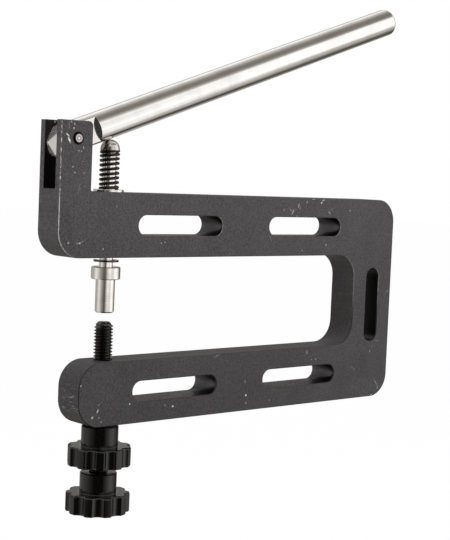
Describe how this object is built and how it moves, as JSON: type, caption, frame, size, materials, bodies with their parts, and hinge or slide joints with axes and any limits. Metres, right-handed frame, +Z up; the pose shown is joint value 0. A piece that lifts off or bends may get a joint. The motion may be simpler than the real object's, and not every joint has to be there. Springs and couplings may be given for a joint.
{
  "type": "lever press",
  "caption": "Hand lever press: C-shaped frame, pivoted lever, sprung plunger with a press pin, and an adjustable anvil screw with a star knob and a locking star knob.",
  "frame": {"origin": "centre of the flat outer edge of the frame's web, midway up the C and midway through its thickness", "axes": "+X out of the web's edge, away from the pressing end; +Y across the thickness; +Z up, along the plunger and the anvil screw"},
  "size_m": [0.149, 0.02, 0.1687],
  "materials": {
    "frame_anodised": "dark grey anodised, finely scratched",
    "lever_steel": "polished stainless bar",
    "pin_steel": "turned bright steel",
    "spring_steel": "dark oil-tempered spring wire",
    "black_oxide": "black oxide, oiled",
    "knob_plastic": "black moulded nylon, satin",
    "insert_brass": "turned"
  },
  "bodies": {
    "frame": {"c_frame": "frame_anodised", "spring_washer": "pin_steel", "return_spring": "spring_steel"},
    "pivot": {"pivot_pin": "pin_steel"},
    "lever": {"lever_handle": "lever_steel"},
    "plunger": {"plunger_rod": "pin_steel", "retaining_clip": "black_oxide", "press_pin": "pin_steel"},
    "anvil": {"anvil_screw": "black_oxide"},
    "screw_knob": {"screw_knob": "knob_plastic"},
    "lock_bush": {"lock_knob_insert": "insert_brass"},
    "lock_knob": {"lock_knob": "knob_plastic"}
  },
  "joints": [
    {"name": "lever_press", "type": "hinge", "parent": "frame", "child": "pivot", "pos_m": [-0.143, 0, 0.05174], "axis": [0, 1, 0], "range_deg": [-3.05, 10.55]},
    {"name": "plunger_slide", "type": "slide", "parent": "frame", "child": "plunger", "axis": [0, 0, -1], "range_m": [-0.00079, 0.00277], "stiffness_N_per_m": 4400, "springref_m": -0.00083, "deforming": ["return_spring"]},
    {"name": "lever_lift", "type": "hinge", "parent": "pivot", "child": "lever", "pos_m": [-0.143, 0, 0.05174], "axis": [0, -1, 0], "range_deg": [0, 185]},
    {"name": "screw_feed", "type": "slide", "parent": "frame", "child": "anvil", "axis": [0, 0, -1], "range_m": [0, 0.012]},
    {"name": "screw_turn", "type": "hinge", "parent": "anvil", "child": "screw_knob", "pos_m": [-0.127, 0, -0.0574], "axis": [0, 0, -1], "range_deg": [0, 4320]},
    {"name": "lock_feed", "type": "slide", "parent": "anvil", "child": "lock_bush", "axis": [0, 0, -1], "range_m": [-0.00044, 0.00208]},
    {"name": "lock_turn", "type": "hinge", "parent": "lock_bush", "child": "lock_knob", "pos_m": [-0.127, 0, -0.0427], "axis": [0, 0, -1], "range_deg": [-160, 750]}
  ],
  "couplings": [
    {"joint": "lever_press", "follows": "plunger_slide", "rad_per_m": 66.27},
    {"joint": "screw_turn", "follows": "screw_feed", "rad_per_m": 6283.2},
    {"joint": "lock_turn", "follows": "lock_feed", "rad_per_m": 6283.2}
  ]
}
